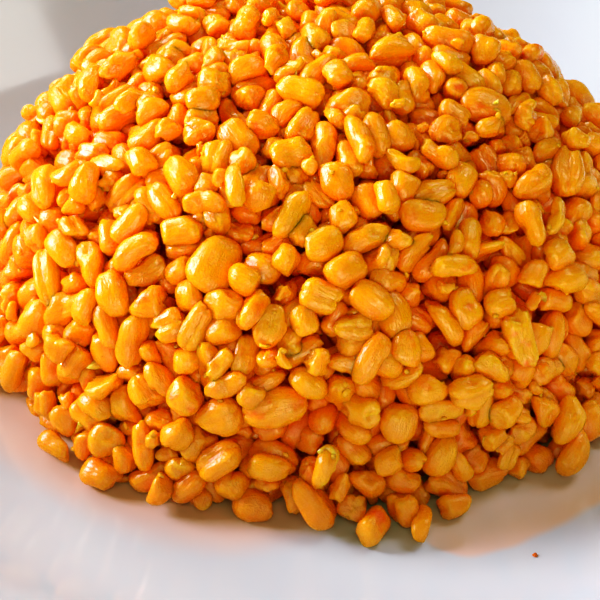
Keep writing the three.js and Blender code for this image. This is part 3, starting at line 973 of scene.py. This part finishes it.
def bit_skin(u, sizes, curl, seed):
    """Points of small bits, as (bit, point, xyz): an ellipsoid with three waves that raise or
    dent it by up to a third, curled along z as curl times z squared."""
    shape = np.random.default_rng(seed)
    reach = ((u[None] / (sizes[:, None] / 2)) ** 2).sum(-1) ** -0.5
    heading = shape.normal(size=(len(sizes), 3, 3)) * 2
    phase = shape.uniform(0, 2 * np.pi, (len(sizes), 3, 1))
    reach *= 1 + 0.11 * np.sin(np.einsum("nwk,pk->nwp", heading, u) + phase).sum(1)
    points = u[None] * reach[..., None]
    half = sizes[:, None, 2] / 2
    points[..., 1] += curl * half * ((points[..., 2] / half) ** 2 - 0.3)
    return points


def paste_material():
    """Cooked red pepper paste: dark, moist, a little uneven."""
    material, nodes, links = new_material("pepper_paste")
    shader = nodes["Principled BSDF"]
    place = nodes.new("ShaderNodeTexCoord").outputs["Object"]
    mottle = noise(nodes, links, place, 1500, 2)
    links.new(mixed_colour(nodes, links, mottle, PASTE_RED, PASTE_ORANGE), shader.inputs["Base Color"])
    links.new(bump(nodes, links, mottle, 0.2 * MM, 0.6), shader.inputs["Normal"])
    set_values(shader, Roughness=0.3)
    return material


paste_look = paste_material()
skin = np.concatenate(skins)
skin_depth, skin_out = dome_depth(skin - [0, 0, HEAP_Z])
for seed, (name, (count, long, wide, thick, curl, depth)) in enumerate(BITS.items()):
    u = kernel_directions(*BIT_GRID)
    reachable = np.flatnonzero((skin_depth > depth[0]) & (skin_depth < depth[1]))
    chosen = draw.choice(reachable, count, replace=False)
    length = between(long, count)
    sizes = np.stack([length * between(wide, count), length * between(thick, count), length], -1)
    points = bit_skin(u, sizes, curl, 300 + seed)
    # a bit lies flat on the dome, turned at random
    upwards = skin_out[chosen] + 0.35 * draw.normal(size=(count, 3))
    upwards /= np.linalg.norm(upwards, axis=1, keepdims=True)
    along = np.cross(upwards, draw.normal(size=(count, 3)))
    along /= np.linalg.norm(along, axis=1, keepdims=True)
    basis = np.stack([np.cross(upwards, along), upwards, along], 1)
    middle = skin[chosen] + upwards * sizes[:, 1:2] * 0.2
    if name == "pepper_bits":
        points[0] *= STRAY_SCALE
        middle[0] = [*STRAY_BIT, inner_height(np.hypot(*STRAY_BIT)) + sizes[0, 1] * STRAY_SUNK]
        basis[0] = [[1, 0, 0], [0, 0, 1], [0, -1, 0]]
    placed = np.einsum("npk,nkj->npj", points, basis) + middle[:, None]
    placed[..., 2] = np.maximum(placed[..., 2], FLOOR_Z + 0.02)
    piece = put_mesh(name, placed.reshape(-1, 3), copied_faces(BIT_GRID, count))
    each = np.ones((count, len(u)))
    tones = np.stack([draw.random((count, 1)) * each, 0 * each, 0.9 * each, each], -1)
    put_attribute(piece.data, "grain_tone", "FLOAT_COLOR", tones.reshape(-1, 4))
    put_attribute(piece.data, "grain_place", "FLOAT_VECTOR", placed.reshape(-1, 3))
    put_attribute(piece.data, "grain_depth", "FLOAT", BIT_OIL * each.ravel())
    piece.data.materials.append(paste_look if name == "pepper_bits" else kernel_look)
    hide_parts("pilaf_heap")
    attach(piece, "root")


# ---- floor and light ----
# A plain pale table, lit by large soft lights: the main one is a window on the left, with
# weaker ones above, behind and on the right, and warm light thrown back from the front.

FLOOR_HALF = 2000
FLOOR_COLOUR = (0.55, 0.545, 0.535)

floor_corners = FLOOR_HALF * np.array([[-1, -1, 0], [1, -1, 0], [1, 1, 0], [-1, 1, 0]], float)
floor = put_mesh("floor", floor_corners, [np.array([[0, 1, 2, 3]])])
floor_material, floor_nodes, floor_links = new_material("pale_table")
set_values(floor_nodes["Principled BSDF"], Base_Color=(*FLOOR_COLOUR, 1), Roughness=0.6)
floor.data.materials.append(floor_material)

WINDOW_DISTANCE = 3000
WINDOW_AIM = (0, 0, 25)
# name: azimuth and elevation in degrees, width, height, watts, colour
WINDOWS = {
    "left_window": (165, 25, 1200, 1200, 261.0, (0.95, 0.96, 1.0)),
    "low_window": (180, 12, 1200, 900, 54.0, (0.92, 0.94, 1.0)),
    "back_window": (120, 30, 1200, 900, 86.4, (1.0, 1.0, 0.92)),
    "high_window": (150, 45, 1200, 1200, 14.4, (0.95, 1.0, 1.0)),
    "right_ceiling": (30, 55, 1200, 1200, 51.3, (1.0, 1.0, 0.93)),
    "front_bounce": (-90, 15, 1800, 1200, 86.4, (1.0, 0.99, 0.76)),
    "front_ceiling": (-90, 50, 1200, 1200, 19.8, (0.9, 1.0, 0.85)),
}
for name, (azimuth, elevation, wide, high, watts, colour) in WINDOWS.items():
    turn, lift = np.radians(azimuth), np.radians(elevation)
    toward = Vector((np.cos(turn) * np.cos(lift), np.sin(turn) * np.cos(lift), np.sin(lift)))
    light = bpy.data.objects.new(name, bpy.data.lights.new(name, "AREA"))
    light.data.shape = "RECTANGLE"
    light.data.size = wide * MM
    light.data.size_y = high * MM
    light.data.energy = watts
    light.data.color = colour
    light.location = Vector(WINDOW_AIM) * MM + toward * WINDOW_DISTANCE * MM
    light.rotation_euler = (-toward).to_track_quat("-Z", "Y").to_euler()
    bpy.context.scene.collection.objects.link(light)

ROOM_COLOUR = (1.0, 1.0, 1.0)
ROOM_STRENGTH = 0.03
world = bpy.data.worlds.new("room")
world.use_nodes = True
set_values(world.node_tree.nodes["Background"], Color=(*ROOM_COLOUR, 1), Strength=ROOM_STRENGTH)
bpy.context.scene.world = world

# the camera's tone curve: brightness x becomes x / (1 + (x / SHOULDER_TOP)^p)^(1/p) with p the
# shoulder's power, so that highlights roll off softly
SHOULDER_TOP = 1.94
SHOULDER_POWER = 1.04
BRIGHTEST = 4.0
CURVE_AT = np.array([0.05, 0.1, 0.2, 0.35, 0.5, 0.75, 1.0, 1.4, 2.0, 2.8, BRIGHTEST])
rolled = CURVE_AT / (1 + (CURVE_AT / SHOULDER_TOP) ** SHOULDER_POWER) ** (1 / SHOULDER_POWER)
view = bpy.context.scene.view_settings
view.view_transform = "Standard"
view.gamma = 0.70
view.use_curve_mapping = True
view.curve_mapping.white_level = (BRIGHTEST, BRIGHTEST, BRIGHTEST)
curve = view.curve_mapping.curves[3]
curve.points[1].location = (1, rolled[-1])
for bright, shown in zip(CURVE_AT[:-1], rolled[:-1]):
    curve.points.new(bright / BRIGHTEST, shown)
# it also deepens colours: a faint blue x becomes x (1 - BLUE_LOSS exp(-(x / BLUE_TOE)^2))
BLUE_LOSS = 0.65
BLUE_TOE = 0.085
BLUE_AT = (0.02, 0.04, 0.06, 0.09, 0.12, 0.16, 0.21, 0.28, 0.4, 0.7)
for faint in BLUE_AT:
    kept = 1 - BLUE_LOSS * np.exp(-((faint / BLUE_TOE) ** 2))
    view.curve_mapping.curves[2].points.new(faint, faint * kept)
view.curve_mapping.update()
